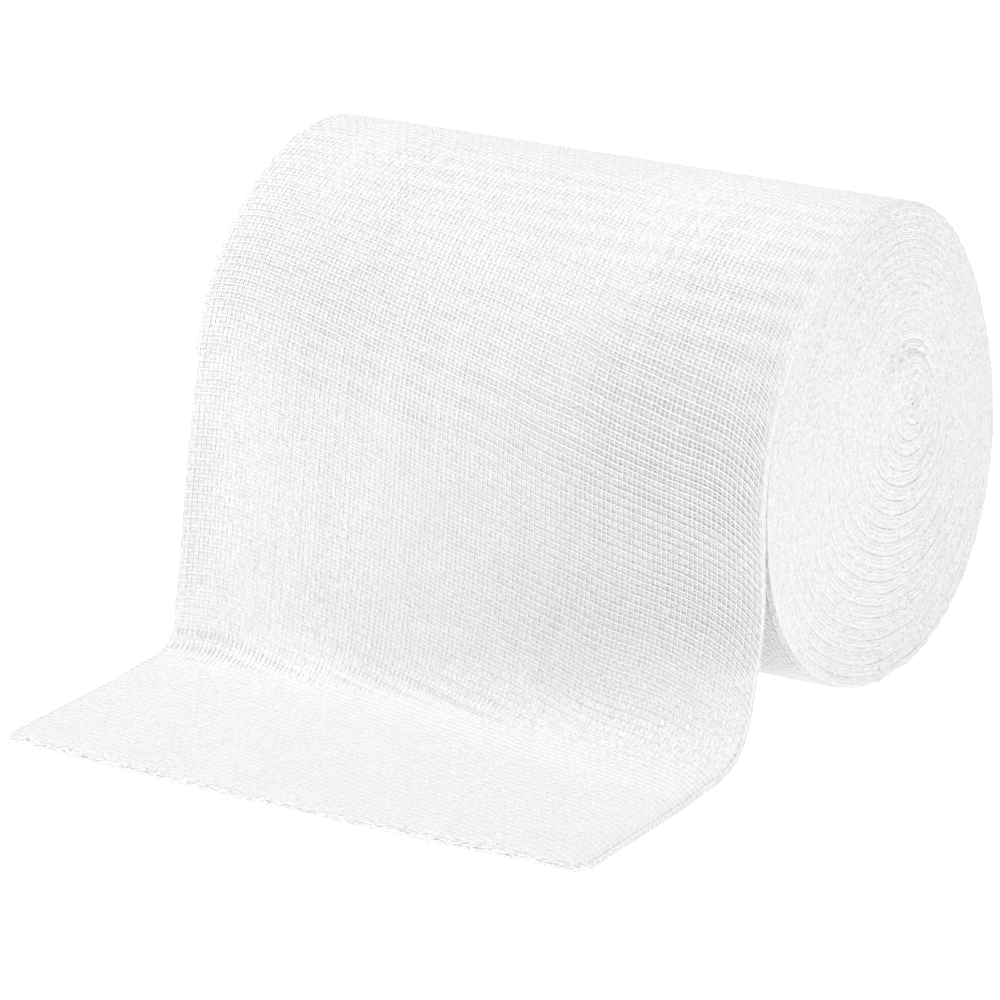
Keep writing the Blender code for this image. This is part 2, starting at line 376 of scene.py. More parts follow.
def outline(turns, share):
    """Angle, y and z of the roll's outer face, so many turns back from the leaving point."""
    travelled = 2.0 * pi * (turns % 1.0)
    nearest = np.minimum(travelled, 2.0 * pi - travelled)
    leaving = leaving_angle(share)
    twisted = (1.0 - ease(nearest / LEAVING_EASE)) * (turns < TWISTED_TURNS)
    angle = leaving_angle(0.5) - travelled + (leaving - leaving_angle(0.5)) * twisted
    radius = BODY_RADIUS - across(PULLED_FLAT, share) * ease(1.0 - apart(angle, leaving) / PULL_SPREAD)
    for lobes, stands_out, towards in LOBES:
        radius = radius + stands_out * np.cos(lobes * (angle - radians(towards)))
    y = AXIS_Y + radius * np.cos(angle)
    z = np.maximum(AXIS_Z + radius * np.sin(angle), 0.0)
    return angle, y, z


def slack_share(turns, angle):
    """The share of the full groove that a turn's edge has where the winding near the core is slack."""
    share = 0.0
    for start, deep, low, high in SLACK_TURNS:
        along = np.clip((np.degrees(angle) % 360.0 - low) / (high - low), 0.0, 1.0)
        bump = np.sin(pi * along) ** SLACK_FLATNESS
        share = share + deep * bump * (turns >= start) * (turns < start + 1.0)
    return share


def turn_scale(turns, total):
    """How large a turn is beside the outermost one, shrinking towards the eye of the winding."""
    whole = np.floor(turns)
    part = turns - whole
    even = ease(turns / STEPPED_TURNS)
    phase = whole + part * even + ease((part - 1.0 + STEP_TURNS) / STEP_TURNS) * (1.0 - even)
    loosens = (1.0 - CORE_SCALE - STEP_SCALE * total) / total ** 2
    return 1.0 - STEP_SCALE * phase - loosens * phase ** 2


def wound(turns, share, sunk, total):
    """Y, z, angle and depth under the roll's face, for a strip sunk by so much of its thickness."""
    angle, y, z = outline(turns, share)
    out_y, out_z = y - EYE_Y, z - EYE_Z
    reach = np.hypot(out_y, out_z)
    scale = turn_scale(turns, total)
    fill = (scale - turn_scale(turns + 1.0, total)) * TURN_FILL
    top = (SUNK / reach) * (1.0 - ramp(turns, *SUNK_ENDS))
    full = ramp(turns, *FILLS_OVER)
    bottom = (STRIP_THICKNESS / reach) * (1.0 - full) + fill * full
    scale = np.maximum(scale - top - (bottom - top) * sunk, LEAST_SCALE)
    return EYE_Y + out_y * scale, EYE_Z + out_z * scale, angle, (1.0 - scale) * reach


def rim_radius(angle, share):
    """The rim is soft all round, and crisp only where the last turn comes down the front."""
    softness = ease(apart(angle, leaving_angle(share)) / RIM_EASE)
    return CRISP_RIM_RADIUS + (RIM_RADIUS - CRISP_RIM_RADIUS) * softness


def left_bulge(angle, share):
    """How far the strip shifts to the left where its left end swells out on the roll's upper front."""
    return LEFT_BULGE * np.exp(-(apart(angle, BULGE_TOWARDS) / BULGE_SPREAD) ** 2) * (1.0 - share) ** 2


def edge_wander(turns, side):
    """How far a turn's edge keeps back from the roll's end."""
    slow, quick = (sum(np.sin(rate * turns + phase + by_side * side) for rate, phase, by_side in waves)
                   for waves in (SLOW_WAVES, QUICK_WAVES))
    return (EDGE_BACK + SLOW_WANDER * slow + QUICK_WANDER * quick) * MM * ease(turns)


def wound_edge(turns, side, inset, sunk, total):
    """Points of the wound strip's folded edge, on the left (-1) or right (+1) end."""
    share = np.full_like(turns, (side + 1.0) / 2.0)
    y, z, angle, depth = wound(turns, share, sunk, total)
    rim = rim_radius(angle, share)
    within = np.minimum(depth, rim)
    reach = STRIP_WIDTH / 2.0 - rim + np.sqrt(np.maximum(2.0 * rim * within - within ** 2, 0.0))
    reach = reach + RIM_STANDS_OUT * (rim - CRISP_RIM_RADIUS)
    inward = 1.0 - turn_scale(turns, total)
    reach = reach - CORE_DEPTH * inward ** 2 - edge_wander(turns, side) - inset * STRIP_THICKNESS
    # A slack turn's own edge lies deeper towards its outer face, and the turn outside it rounds off into it
    own = slack_share(turns, angle) * ease((GROOVE_UNTIL - sunk) / GROOVE_UNTIL)
    outside = slack_share(turns + 1.0, angle) * ramp(sunk, *NEXT_GROOVE_OVER)
    reach = reach - SLACK_GROOVE * (own + outside)
    return np.stack([side * reach - left_bulge(angle, share), y, z], axis=-1)


def wound_face(turns, share, sunk, total):
    """Points of the wound strip's outer (0) or inner (1) face."""
    y, z, angle, _ = wound(turns, np.full_like(turns, share), sunk, total)
    x = (share - 0.5) * (STRIP_WIDTH - 2.0 * rim_radius(angle, share)) - left_bulge(angle, share)
    return np.stack([x, y, z], axis=-1)


def bezier(points, share):
    """A cubic curve through the first and last of four (n, 2) point arrays."""
    share = share[:, None]
    one, two, three, four = points
    rest = 1.0 - share
    return rest ** 3 * one + 3 * rest ** 2 * share * two + 3 * rest * share ** 2 * three + share ** 3 * four


def side_point(pair, share):
    """A point of the loose end's side view, as (y, z)."""
    in_front, height = (across(values, share) for values in zip(*pair))
    return np.array([AXIS_Y - in_front, height])


def cut_edge_setback(share):
    """How far the cut edge's bow and rounded corners hold it back."""
    setback = -CUT_EDGE_BOW * sin(pi * share)
    for radius, from_edge in zip(CORNER_RADIUS, (share, 1.0 - share)):
        inside = max(radius - from_edge * STRIP_WIDTH, 0.0)
        setback += radius - sqrt(radius * radius - inside * inside)
    return setback


def loose_path(share, rings=LOOSE_RINGS):
    """The loose end's outer face at one share of the width, from its leaving point, as (y, z) rows."""
    leaving = leaving_angle(share)
    start = np.array([float(value) for value in outline(np.array(0.0), share)[1:]])
    top, corner = side_point(BEND_TOP, share), side_point(BEND_CORNER, share)
    foot, cut = side_point(BEND_FOOT, share), side_point(CUT_EDGE, share)
    cut[0] += cut_edge_setback(share)
    tangent = np.array([-sin(leaving), cos(leaving)]) * np.linalg.norm(top - start) / 3.0
    hanging, bending, lying = (np.linspace(0, 1, count + 1) for count in rings)
    return np.concatenate([
        bezier((start, start + tangent, side_point(HANG_HANDLE, share), top), hanging),
        bezier((top, top + (corner - top) * BEND_FULLNESS, foot + (corner - foot) * BEND_FULLNESS, foot),
               bending[1:]),
        foot + (cut - foot) * lying[1:, None]])


def drawn_right(y, share):
    """How far the strip's edges shift to the right where it lies on the table."""
    past_bend = AXIS_Y - BEND_FOOT[0][0] - y
    return across(DRAWN_RIGHT, share) * ease(past_bend / DRAWN_RIGHT_OVER)


def inward_of(path):
    """Unit vectors from the loose end's outer face towards its inner one."""
    run = unit(np.gradient(path, axis=0))
    return np.stack([-run[:, 1], run[:, 0]], axis=1)


# === the face that the yarns follow

class StripFace:
    """The outer turn and loose end as a table: a place and a normal for any run and any x across."""

    STEP = 0.5 * MM
    # Columns in from each edge, in mm, then evenly spread ones between
    NEAR_EDGE_MM = (0.0, 0.3, 0.6, 1.0, 1.4, 1.8, 2.2, 2.6, 3.0, 3.6, 4.5)
    SPREAD_FROM = 6.0 * MM
    SPREAD_COLUMNS = 45
    FIRST_TURN = 0.995
    BODY_ROWS = 420
    LOOSE_ROWS = (60, 50, 40)
    FADE_POWER = 4
    LAST_CELL = 1.001

    def __init__(self, total):
        self.total = total
        edge = STRIP_WIDTH / 2.0
        fine = np.array(self.NEAR_EDGE_MM) * MM
        middle = np.linspace(-edge + self.SPREAD_FROM, edge - self.SPREAD_FROM, self.SPREAD_COLUMNS)
        self.columns = np.concatenate([-edge + fine, middle, (edge - fine)[::-1]])
        paths = [self.column(x) for x in self.columns]
        self.ends = np.array([run[-1] for run, _ in paths])
        self.low = max(run[0] for run, _ in paths)
        self.runs = np.arange(self.low, self.ends.max() + self.STEP, self.STEP)
        places = np.zeros((len(self.runs), len(self.columns), 3))
        for index, (run, points) in enumerate(paths):
            for axis in range(3):
                places[:, index, axis] = np.interp(self.runs, run, points[:, axis])
            over = self.runs > run[-1]
            places[over, index, 1] -= self.runs[over] - run[-1]
        along = np.gradient(places, axis=0)
        sideways = np.gradient(places, self.columns, axis=1)
        self.places, self.normals = places, unit(np.cross(along, sideways))

    def column(self, x):
        """Run and place of one column of the face, from under the leaving point to the cut edge."""
        share = (x + STRIP_WIDTH / 2.0) / STRIP_WIDTH
        turns = np.linspace(self.FIRST_TURN, 0.0, self.BODY_ROWS)
        angle, y, z = outline(turns, share)
        scale = turn_scale(turns, self.total)
        y, z = EYE_Y + (y - EYE_Y) * scale, EYE_Z + (z - EYE_Z) * scale
        rim = rim_radius(angle, share)
        over = np.maximum(np.abs(x) - (STRIP_WIDTH / 2.0 - rim), 0.0) / rim
        place_x = np.abs(x) - over * rim + rim * np.sin(over)
        place_x = np.sign(x) * (place_x + RIM_STANDS_OUT * (rim - CRISP_RIM_RADIUS) * over)
        place_x = place_x - left_bulge(angle, share)
        sunk = rim * (1.0 - np.cos(over))
        y, z = y - sunk * np.cos(angle), np.maximum(z - sunk * np.sin(angle), 0.0)
        body = np.stack([place_x, y, z], axis=1)
        path = loose_path(share, self.LOOSE_ROWS)[1:]
        loose = np.stack([x + drawn_right(path[:, 0], share), path[:, 0], path[:, 1]], axis=1)
        # The bulge and the crisp rim's small drop fade out down the loose end
        fade = np.linspace(1.0, 0.0, len(loose))[:, None] ** self.FADE_POWER
        loose += (body[-1] - np.array([x, *outline(np.array(0.0), share)[1:]])) * fade
        points = np.concatenate([body, loose])
        run = length_along(points)
        return run - run[len(body) - 1], points

    def end_at(self, x):
        """The run at which the cut edge ends the strip."""
        return np.interp(x, self.columns, self.ends)

    def at(self, run, x, lift):
        """Places and normals at runs and xs, lifted off the face."""
        row = np.clip((run - self.low) / self.STEP, 0.0, len(self.runs) - self.LAST_CELL)
        column = np.interp(x, self.columns, np.arange(len(self.columns)))
        column = np.clip(column, 0.0, len(self.columns) - self.LAST_CELL)
        r0, c0 = row.astype(int), column.astype(int)
        fr, fc = (row - r0)[..., None], (column - c0)[..., None]

        def mixed(table):
            near = table[r0, c0] * (1.0 - fc) + table[r0, c0 + 1] * fc
            far = table[r0 + 1, c0] * (1.0 - fc) + table[r0 + 1, c0 + 1] * fc
            return near * (1.0 - fr) + far * fr

        normal = unit(mixed(self.normals))
        return mixed(self.places) + normal * np.asarray(lift)[..., None], normal


# === making meshes

def finished(mesh, name, material):
    """A piece of the roll: smooth, with its material, riding on the body."""
    mesh.materials.append(material)
    mesh.shade_smooth()
    piece = bpy.data.objects.new(name, mesh)
    bpy.context.collection.objects.link(piece)
    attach(piece, BODY)
    return piece


def stretches(yarn):
    """Which neighbouring rings are of one yarn, and which rings are a yarn's first and last."""
    joined = yarn[1:] == yarn[:-1]
    return joined, np.concatenate([[True], ~joined]), np.concatenate([~joined, [True]])


def tube_piece(name, points, normals, yarn, radius, material, sides=3):
    """Many yarns as one piece of closed tubes: yarn holds the number of each ring's yarn, in order."""
    joined, first, last = stretches(yarn)
    ahead = np.where(last[:, None], points, np.roll(points, -1, axis=0))
    behind = np.where(first[:, None], points, np.roll(points, 1, axis=0))
    run = unit(ahead - behind)
    sideways = unit(np.cross(run, normals))
    up = np.cross(sideways, run)
    turn = 2.0 * pi * (np.arange(sides) / sides) + pi / 2.0
    ring = (points[:, None] + radius[:, None, None]
            * (np.cos(turn)[None, :, None] * sideways[:, None] + np.sin(turn)[None, :, None] * up[:, None]))
    ring[..., 2] = np.maximum(ring[..., 2], 0.0)
    verts = ring.reshape(-1, 3)
    start = (np.nonzero(joined)[0] * sides)[:, None]
    side = np.arange(sides)
    after = (side + 1) % sides
    quads = np.stack([start + side, start + sides + side, start + sides + after, start + after], axis=-1)
    caps = np.concatenate([(np.nonzero(first)[0] * sides)[:, None] + side,
                           (np.nonzero(last)[0] * sides)[:, None] + side[::-1]])
    mesh = bpy.data.meshes.new(name)
    mesh.from_pydata(verts.tolist(), [], quads.reshape(-1, 4).tolist() + caps.tolist())
    add_yarn_uv(mesh, length_along(points, joined), sides)
    return finished(mesh, name, material)


def add_yarn_uv(mesh, length, sides):
    """A map whose U runs along the yarn in millimetres and whose V goes once round it."""
    layer = mesh.uv_layers.new(name="yarn")
    corner = np.zeros(len(mesh.loops), dtype=np.int32)
    mesh.loops.foreach_get("vertex_index", corner)
    uv = np.stack([length[corner // sides] / MM, (corner % sides) / sides], axis=1)
    layer.data.foreach_set("uv", uv.astype(np.float32).ravel())


def smooth_noise(rng, count, length, smooth):
    """Rows of soft random values of about unit size, each smoothed over its length."""
    rough = rng.standard_normal((count, length + 6 * smooth))
    kernel = np.hanning(2 * smooth + 1)
    kernel /= sqrt((kernel ** 2).sum())
    soft = np.stack([np.convolve(row, kernel, mode="same") for row in rough])
    return soft[:, 3 * smooth:3 * smooth + length]


# === the wound strip

def strip_rings(total):
    """Every ring of the strip's cross-section, from the eye of the winding to the cut edge."""
    turns = np.linspace(total, 0.0, int(total * RINGS_PER_TURN) + 1)
    body, loose = [], []
    for side, sunk, shares, nose in ((1.0, 0.0, FACE_SHARES, EDGE_NOSE),
                                     (-1.0, 1.0, FACE_SHARES[::-1], EDGE_NOSE[::-1])):
        body += [wound_face(turns, share, sunk, total) for share in shares]
        body += [wound_edge(turns, side, inset, part, total) for inset, part in nose]
        loose += [loose_column(share, 0.0, sunk) for share in shares]
        loose += [loose_column((side + 1.0) / 2.0, -side * inset, part) for inset, part in nose]
    return np.concatenate([np.stack(body, axis=1), np.stack(loose, axis=1)])


def loose_column(share, inset, sunk):
    """One line along the loose end, at a share of its width and of its thickness."""
    path = loose_path(share)
    place = path + inward_of(path) * (SUNK + (STRIP_THICKNESS - SUNK) * sunk)
    place[:, 1] = np.maximum(place[:, 1], CLEARS_TABLE)
    place[-1, 0] += CUT_END_BACK * (1.0 + abs(sunk - CUT_END_FULLEST))
    x = (share - 0.5) * (STRIP_WIDTH - SHEET_NARROWER) + inset * STRIP_THICKNESS
    return np.stack([x + drawn_right(path[:, 0], share), place[:, 0], place[:, 1]], axis=-1)[1:]


def open_weave(x, run):
    """How open the weave looks, and so its painted shade, at an x and a run: least on the table, most where
    the plies part.
    """
    x, run = x / MM, run / MM
    opened = OPEN_OVERALL * ramp(run, *OPENS_OVER) * (1.0 - ramp(run, *CLOSES_OVER))
    opened = opened + OPEN_BELOW * (1.0 - ramp(run, *BELOW_ENDS))
    for *place, strength in OPEN_PATCHES:
        opened = opened + strength * patch(x, run, *place)
    return np.clip(opened, 0.0, 1.0)


def patch(x, run, at_x, at_run, wide, long):
    """A soft patch of the strip, 1 in its middle."""
    return np.exp(-((x - at_x) / wide) ** 2 - ((run - at_run) / long) ** 2)


def sink_open_parts(rings, opened):
    """Lets the outer face of the lower plies lie deeper where the weave looks open."""
    faces, edges = len(FACE_SHARES), len(EDGE_NOSE)
    outer = np.arange(faces)
    inner = 2 * faces + edges - 1 - outer
    through = unit(rings[:, inner] - rings[:, outer])
    rings[:, outer] += through * (OPEN_DEPTH * opened[:, outer])[..., None]


def shade_shares(opened, leaves):
    """How far each point takes the painted shade of the hollows: not at all on the ends and the inner
    turns.
    """
    shaded = at_least(LEAST_SHADE, opened)
    ends = np.r_[len(FACE_SHARES) + 1:opened.shape[1] - 1]
    shaded[:, ends] = np.where(np.arange(len(opened))[:, None] < leaves, 0.0, LEAST_SHADE)
    shaded[:leaves - RINGS_PER_TURN] = 0.0
    return shaded


def make_wound_strip(settings, material):
    """The strip as one closed piece, and its length from the eye of the winding to the cut edge."""
    rings = strip_rings(settings.turns)
    count, around = rings.shape[:2]
    leaves = int(settings.turns * RINGS_PER_TURN)
    length = length_along(rings.mean(axis=1))
    run = length_along(rings[:, len(FACE_SHARES) // 2])
    opened = open_weave(rings[..., 0], (run - run[leaves])[:, None])
    opened[:leaves - RINGS_PER_TURN] = 0.0
    sink_open_parts(rings, opened)
    shaded = shade_shares(opened, leaves)
    sunk = [part for _, part in EDGE_NOSE]
    depths = [0.0] * len(FACE_SHARES) + sunk + [1.0] * len(FACE_SHARES) + sunk[::-1]
    bm = bmesh.new()
    bmesh.ops.create_grid(bm, x_segments=around, y_segments=count - 1, size=0.5)
    uv = bm.loops.layers.uv.new("cloth")
    # How far each point takes the painted shade between the yarns
    shows = bm.verts.layers.float.new("shows")
    depth = bm.verts.layers.float.new("depth")
    place = {}
    for vert in bm.verts:
        row, column = round((vert.co.y + 0.5) * (count - 1)), round((vert.co.x + 0.5) * around)
        place[vert.index] = row, column % around
    for vert in bm.verts:
        row, column = place[vert.index]
        vert.co = rings[row, column]
        vert[shows] = shaded[row, column]
        vert[depth] = depths[column]
    for face in bm.faces:
        for loop in face.loops:
            row, column = place[loop.vert.index]
            loop[uv].uv = (rings[row, column][0] / MM, length[row] / MM)
    bmesh.ops.remove_doubles(bm, verts=bm.verts, dist=WELD)
    bmesh.ops.holes_fill(bm, edges=[edge for edge in bm.edges if edge.is_boundary], sides=0)
    bmesh.ops.triangulate(bm, faces=[face for face in bm.faces if len(face.verts) > 4])
    bmesh.ops.recalc_face_normals(bm, faces=bm.faces)
    mesh = bpy.data.meshes.new("wound_strip")
    bm.to_mesh(mesh)
    bm.free()
    return finished(mesh, "wound_strip", material), float(length[-1])


# === woven plies

def weft_drop(x):
    """How much further along the strip a weft yarn lies at x than at the left edge."""
    fine = np.linspace(WEFT_AT_MM[0], WEFT_AT_MM[-1], SLOPE_STATIONS) * MM
    slope = np.interp(fine, np.array(WEFT_AT_MM) * MM, WEFT_SLOPE)
    drop = np.concatenate([[0.0], np.cumsum(np.diff(fine) * (slope[1:] + slope[:-1]) / 2.0)])
    return np.interp(x, fine, drop)


def soft_field(rng, rows, columns, smooth):
    """A field of soft random values of about unit size, smoothed both ways."""
    return smooth_noise(rng, columns, rows, smooth).T @ soft_mixer(columns, smooth)


def soft_mixer(count, smooth):
    """Mixes each column with its neighbours, and keeps the size of the values."""
    away = np.abs(np.arange(count)[:, None] - np.arange(count)[None])
    mixer = np.where(away <= smooth, 1.0 + np.cos(pi * away / (smooth + 1.0)), 0.0)
    return mixer / np.sqrt((mixer ** 2).sum(axis=0))


def weave_ply(face, settings, seed, lift, parts, height, shift, inset):
    """One ply as tables with a row for each weft and a column for each warp."""
    common = np.random.default_rng(WEAVE_SEED)
    own = np.random.default_rng(seed)
    warps, pitch = settings.warp_yarns, settings.weft_pitch
    first = face.low - WEFTS_START_BELOW
    wefts = int((face.ends.max() - first) / pitch) + 2
    width = STRIP_WIDTH - 2.0 * inset
    spacing = 1.0 + WARP_UNEVEN * smooth_noise(common, 1, warps, UNEVEN_OVER)[0]
    across_at = np.cumsum(spacing) - spacing[0]
    x = -width / 2.0 + width * across_at / across_at[-1] + shift * width / warps
    steps = pitch * (1.0 + WEFT_UNEVEN * smooth_noise(common, 1, wefts, UNEVEN_OVER)[0])
    nominal = first + shift * pitch + np.cumsum(steps)
    wave = (soft_field(common, wefts, warps, SHARED_OVER) * SHARED_WAVE
            + smooth_noise(own, wefts, warps, OWN_OVER) * OWN_WAVE
            + smooth_noise(own, wefts, warps, KINKS_OVER) * KINKS) * MM
    run = nominal[:, None] + weft_drop(x)[None] + wave
    sway = smooth_noise(own, warps, wefts, SWAY_OVER).T * WARP_SWAY * MM
    xs = np.clip(x[None] + sway, -width / 2.0, width / 2.0)
    over = np.where((np.arange(wefts)[:, None] + np.arange(warps)[None]) % 2 == 0, 1.0, -1.0)
    inside = (run > face.low + PAST_LOW_END) & (run < face.end_at(xs) - SHORT_OF_CUT)
    opened = open_weave(xs, run)
    relief = at_least(LEAST_RELIEF, np.minimum(opened / FULL_RELIEF_AT, 1.0))
    lift = lift + parts * opened - EMBEDDED * (1.0 - relief)
    height = height * relief
    proud = np.maximum(WEFT_PROUD * (opened - WEFT_LEADS_FROM), -WARP_PROUD) * relief
    proud = proud + LOW_WEFT_PROUD * patch(xs / MM, run / MM, *LOW_WEFT_PATCH)
    proud = proud + BEND_WEFT_PROUD * np.exp(-((run / MM - BEND_RUN) / BEND_SPREAD) ** 2)
    warp_uneven = THICK_WAVE * smooth_noise(own, wefts, warps, THICK_OVER)
    weft_uneven = THICK_WAVE * smooth_noise(own, wefts, warps, THICK_OVER)
    return {"run": run, "x": xs, "inside": inside,
            "warp_lift": lift + height * over - proud, "weft_lift": lift - height * over + proud,
            "warp_thick": 1.0 + warp_uneven, "weft_thick": 1.0 + WEFT_THICKER * opened + weft_uneven}


def yarn_numbers(inside):
    """Numbers the unbroken stretches of each row, and drops those that are too short for a yarn."""
    rows, columns = inside.shape
    starts = inside.copy()
    starts[:, 1:] &= ~inside[:, :-1]
    number = np.cumsum(starts.ravel()).reshape(rows, columns) * inside
    counts = np.bincount(number.ravel())
    keep = inside & (counts[number] >= FEWEST_RINGS)
    return number, keep


def wrap_edges(points, normals, yarn, radii):
    """Carries each weft yarn round the strip's folded edges: two more rings at an end that reaches one."""
    _, first, last = stretches(yarn)
    wrapped = []
    for begin, end in zip(np.nonzero(first)[0], np.nonzero(last)[0]):
        stretch, ups = [points[begin:end + 1]], [normals[begin:end + 1]]
        for place, inner in ((begin, begin + 1), (end, end - 1)):
            if abs(points[place, 0]) < STRIP_WIDTH / 2.0 - WRAPS_WITHIN:
                continue
            normal = normals[place]
            outward = points[place] - points[inner]
            outward /= np.linalg.norm(outward)
            rings = [points[place] + outward * out * MM - normal * down * MM for out, down in WRAP_RINGS]
            up = [outward, outward - normal]
            if place == end:
                stretch, ups = stretch + [rings], ups + [up]
            else:
                stretch, ups = [rings[::-1]] + stretch, [up[::-1]] + ups
        stretch = np.concatenate(stretch)
        wrapped.append((stretch, np.concatenate(ups), np.full(len(stretch), yarn[begin]),
                        np.full(len(stretch), radii[begin:end + 1].mean())))
    return [np.concatenate(column) for column in zip(*wrapped)]


def weave(context, name, material, thick, every, wrap, **measures):
    """Weaves one ply: its warp and its weft are a piece each, of every crossing or each second one."""
    settings = context.scene.gauze_weave
    face = StripFace(context.scene.gauze_strip.turns)
    ply = weave_ply(face, settings, **measures)
    warps = {key: table[::every].T for key, table in ply.items()}
    wefts = {key: table[:, ::every] for key, table in ply.items()}
    for kind, tables, share in (("warp", warps, thick[0]), ("weft", wefts, thick[1])):
        number, keep = yarn_numbers(tables["inside"])
        points, normals = face.at(*(tables[key][keep] for key in ("run", "x", kind + "_lift")))
        yarns = points, normals, number[keep], settings.yarn_radius * share * tables[kind + "_thick"][keep]
        if wrap and kind == "weft":
            yarns = wrap_edges(*yarns)
        tube_piece(f"{name}_{kind}", *yarns, material)


# === loops and frayed ends

def short_yarns(name, rings, ups, radii, material):
    """Short yarns as one piece: the rings of each, with one upward vector and one radius."""
    count, steps = rings.shape[:2]
    return tube_piece(name, rings.reshape(-1, 3), np.repeat(ups, steps, axis=0),
                      np.repeat(np.arange(count), steps), np.repeat(radii, steps), material)


def make_end_loops(name, side, count, total, radius, material, seed):
    """Short loops of weft that stand out on one end of the roll, turn by turn."""
    rng = np.random.default_rng(seed)
    last = total - LOOPS_STOP_SHORT
    fine = np.linspace(LOOPS_START, last, LOOP_STATIONS)
    length = length_along(wound_edge(fine, side, 0.0, 0.5, total))
    turns = np.interp(rng.uniform(0.0, length[-1], count), length, fine)
    near_eye = count // EYE_LOOP_IN
    turns[:near_eye] = rng.uniform(total - EYE_TURNS, last, near_eye)
    inner = ease(turns - INNER_FROM)
    sunk = np.where(rng.random(count) < AT_FACE_SHARE, rng.normal(0.0, AT_FACE_SPREAD, count),
                    rng.uniform(*LOOP_SUNK, count))
    sunk = np.maximum(sunk, OUTER_SUNK * (1.0 - inner))
    inset = LOOP_INSET * np.abs(sunk - 0.5) ** 2
    centre = wound_edge(turns, side, inset, sunk, total)
    run = wound_edge(turns + LOOP_AHEAD, side, inset, sunk, total) - centre
    run[:, 0] = 0.0
    run = unit(run)
    out = np.tile((side, 0.0, 0.0), (count, 1))
    sideways = np.cross(run, out)
    turned = (rng.normal(0.0, LOOP_TURNED, count) * at_least(OUTER_TURNED, inner))[:, None]
    towards = np.cos(turned) * run + np.sin(turned) * sideways
    cross = np.cross(towards, out)
    half = rng.uniform(*LOOP_HALF, count)[:, None] * MM
    high = (rng.uniform(*LOOP_HIGH, count) * at_least(OUTER_HIGH, inner))[:, None] * MM
    bow = rng.normal(0.0, LOOP_BOW, (count, 1)) * MM
    rings = np.stack([
        centre - towards * half - out * LOOP_ROOT * MM,
        centre + out * high + cross * bow,
        centre + towards * half - out * LOOP_ROOT * MM,
    ], axis=1)
    return short_yarns(name, rings, out, radius * rng.uniform(*LOOP_THICK, count), material)


def make_frayed_edge(face, count, radius, material):
    """Loose, wavy bits of yarn along the cut edge, and warp ends that stick out of it."""
    rng = np.random.default_rng(FRAYED_SEED)
    x = rng.uniform(-STRIP_WIDTH / 2.0 + FROM_EDGES[0], STRIP_WIDTH / 2.0 - FROM_EDGES[1], count)
    back = (FRAYED_BACK + rng.exponential(FRAYED_DEEPER, count)) * MM
    centre, _ = face.at(face.end_at(x) - back, x, np.zeros(count))
    centre[:, 2] = rng.uniform(*FRAYED_AT_HEIGHT, count) * STRIP_THICKNESS
    heading = rng.normal(0.0, FRAYED_TURNED, count)
    warp_end = rng.random(count) < WARP_END_SHARE
    heading = np.where(warp_end, -pi / 2.0 + rng.normal(0.0, WARP_END_TURNED, count), heading)
    half = np.where(warp_end, rng.uniform(*WARP_END_HALF, count), rng.uniform(*FRAYED_HALF, count)) * MM
    towards = np.stack([np.cos(heading), np.sin(heading), rng.normal(0.0, FRAYED_TILT, count)], axis=1)
    cross = np.stack([-np.sin(heading), np.cos(heading), np.zeros(count)], axis=1)
    share = np.linspace(-1.0, 1.0, FRAYED_RINGS)
    phase = rng.uniform(0.0, 2.0 * pi, (count, 1))
    waves = rng.uniform(*FRAYED_WAVES, (count, 1))
    sway = rng.uniform(*FRAYED_SWAY, (count, 1)) * MM * np.sin(waves * share + phase)
    rise = rng.uniform(*FRAYED_RISE, (count, 1)) * MM
    rise = rise * np.sin(waves * share * RISE_RATE + RISE_PHASE * phase)
    points = (centre[:, None] + towards[:, None] * (half[:, None] * share)[..., None]
              + cross[:, None] * sway[..., None])
    points[..., 2] = np.clip(points[..., 2] + rise, FRAYED_MARGIN, STRIP_THICKNESS + FRAYED_MARGIN)
    up = np.tile((0.0, 0.0, 1.0), (count, 1))
    return short_yarns("frayed_edge", points, up, radius * rng.uniform(*FRAYED_THICK, count), material)


# === materials

def new_material(name):
    material = bpy.data.materials.new(name)
    material.use_nodes = True
    tree = material.node_tree
    return material, tree, tree.nodes["Principled BSDF"]


def link(tree, source, target):
    tree.links.new(source, target)


def set_inputs(node, values):
    for name, value in values.items():
        node.inputs[name].default_value = value


def toned(colour, share):
    """A colour made darker or lighter, with the alpha that a socket asks for."""
    return tuple(value * share for value in colour) + (1.0,)


def math_node(tree, operation, one, two=None, three=None):
    node = tree.nodes.new("ShaderNodeMath")
    node.operation = operation
    for socket, value in zip(node.inputs, (one, two, three)):
        if isinstance(value, (int, float)):
            socket.default_value = value
        elif value is not None:
            link(tree, value, socket)
    return node.outputs[0]


def mix_colours(tree, factor, one, two):
    node = tree.nodes.new("ShaderNodeMix")
    node.data_type = "RGBA"
    link(tree, factor, node.inputs["Factor"])
    for name, value in (("A", one), ("B", two)):
        socket = [socket for socket in node.inputs if socket.name == name and socket.type == "RGBA"][0]
        if isinstance(value, tuple):
            socket.default_value = value
        else:
            link(tree, value, socket)
    return [socket for socket in node.outputs if socket.type == "RGBA"][0]


def noise_node(tree, vector, scale, detail, distortion=0.0):
    node = tree.nodes.new("ShaderNodeTexNoise")
    set_inputs(node, {"Detail": detail, "Distortion": distortion})
    link(tree, vector, node.inputs["Vector"])
    link(tree, scale, node.inputs["Scale"])
    return node.outputs["Fac"]


def attribute_node(tree, name):
    node = tree.nodes.new("ShaderNodeAttribute")
    node.attribute_name = name
    return node.outputs["Fac"]


